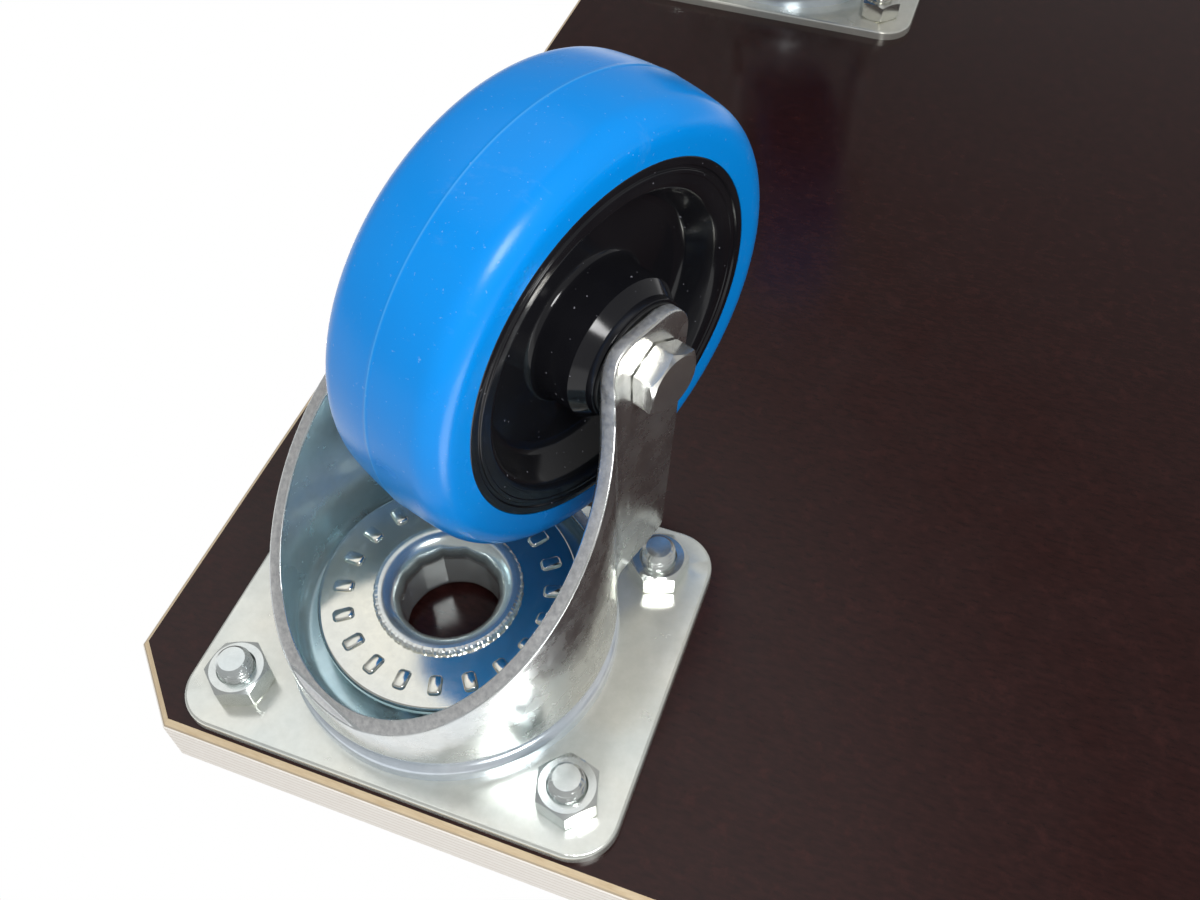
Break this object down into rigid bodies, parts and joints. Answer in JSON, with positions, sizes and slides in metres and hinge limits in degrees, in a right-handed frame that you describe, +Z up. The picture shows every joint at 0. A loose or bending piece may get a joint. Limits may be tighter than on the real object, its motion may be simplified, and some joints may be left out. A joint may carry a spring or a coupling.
{
  "type": "moving dolly",
  "caption": "Flat rectangular plywood moving dolly with cut corners, on swivel casters with rubber-tyred wheels, for rolling furniture and heavy boxes.",
  "frame": {"origin": "on the floor under the middle of the deck", "axes": "+X along the deck's long side, +Y along its short side, +Z up"},
  "size_m": [0.6, 0.404, 0.146],
  "materials": {
    "plywood": "dark brown film on both faces, pale bare plies at the edges",
    "zinc": "bright zinc plate on pressed steel",
    "blue_zinc": "bluish zinc plate on pressed steel",
    "bearing_steel": "polished",
    "tyre": "smooth blue elastic rubber",
    "rim": "glossy black moulded",
    "cap": "black moulded"
  },
  "bodies": {
    "deck": {"deck_board": "plywood", "deck_screws": "zinc", "deck_nuts": "zinc", "top_plate_back_left": "zinc", "swivel_ring_back_left": "blue_zinc", "upper_balls_back_left": "bearing_steel", "lower_balls_back_left": "bearing_steel", "race_washer_back_left": "zinc", "king_rivet_back_left": "zinc", "top_plate_front_left": "zinc", "swivel_ring_front_left": "blue_zinc", "upper_balls_front_left": "bearing_steel", "lower_balls_front_left": "bearing_steel", "race_washer_front_left": "zinc", "king_rivet_front_left": "zinc", "top_plate_front_right": "zinc", "swivel_ring_front_right": "blue_zinc", "upper_balls_front_right": "bearing_steel", "lower_balls_front_right": "bearing_steel", "race_washer_front_right": "zinc", "king_rivet_front_right": "zinc", "top_plate_back_right": "zinc", "swivel_ring_back_right": "blue_zinc", "upper_balls_back_right": "bearing_steel", "lower_balls_back_right": "bearing_steel", "race_washer_back_right": "zinc", "king_rivet_back_right": "zinc"},
    "caster_back_left": {"fork_back_left": "zinc", "axle_tube_back_left": "zinc", "axle_bolt_back_left": "zinc", "axle_nut_back_left": "zinc"},
    "wheel_back_left": {"tyre_back_left": "tyre", "rim_back_left": "rim", "roller_bearing_back_left": "bearing_steel", "hub_caps_back_left": "cap"},
    "caster_front_left": {"fork_front_left": "zinc", "axle_tube_front_left": "zinc", "axle_bolt_front_left": "zinc", "axle_nut_front_left": "zinc"},
    "wheel_front_left": {"tyre_front_left": "tyre", "rim_front_left": "rim", "roller_bearing_front_left": "bearing_steel", "hub_caps_front_left": "cap"},
    "caster_front_right": {"fork_front_right": "zinc", "axle_tube_front_right": "zinc", "axle_bolt_front_right": "zinc", "axle_nut_front_right": "zinc"},
    "wheel_front_right": {"tyre_front_right": "tyre", "rim_front_right": "rim", "roller_bearing_front_right": "bearing_steel", "hub_caps_front_right": "cap"},
    "caster_back_right": {"fork_back_right": "zinc", "axle_tube_back_right": "zinc", "axle_bolt_back_right": "zinc", "axle_nut_back_right": "zinc"},
    "wheel_back_right": {"tyre_back_right": "tyre", "rim_back_right": "rim", "roller_bearing_back_right": "bearing_steel", "hub_caps_back_right": "cap"}
  },
  "joints": [
    {"name": "swivel_back_left", "type": "hinge", "parent": "deck", "child": "caster_back_left", "pos_m": [-0.23, 0.157, 0.117], "axis": [0, 0, 1], "continuous": true},
    {"name": "roll_back_left", "type": "hinge", "parent": "caster_back_left", "child": "wheel_back_left", "pos_m": [-0.21517, 0.11985, 0.05], "axis": [0.9287, 0.3707, 0], "continuous": true},
    {"name": "swivel_front_left", "type": "hinge", "parent": "deck", "child": "caster_front_left", "pos_m": [-0.23, -0.157, 0.117], "axis": [0, 0, 1], "continuous": true},
    {"name": "roll_front_left", "type": "hinge", "parent": "caster_front_left", "child": "wheel_front_left", "pos_m": [-0.21517, -0.11985, 0.05], "axis": [-0.9287, 0.3707, 0], "continuous": true},
    {"name": "swivel_front_right", "type": "hinge", "parent": "deck", "child": "caster_front_right", "pos_m": [0.23, -0.157, 0.117], "axis": [0, 0, 1], "continuous": true},
    {"name": "roll_front_right", "type": "hinge", "parent": "caster_front_right", "child": "wheel_front_right", "pos_m": [0.21517, -0.11985, 0.05], "axis": [-0.9287, -0.3707, 0], "continuous": true},
    {"name": "swivel_back_right", "type": "hinge", "parent": "deck", "child": "caster_back_right", "pos_m": [0.23, 0.157, 0.117], "axis": [0, 0, 1], "continuous": true},
    {"name": "roll_back_right", "type": "hinge", "parent": "caster_back_right", "child": "wheel_back_right", "pos_m": [0.21517, 0.11985, 0.05], "axis": [0.9287, -0.3707, 0], "continuous": true}
  ]
}
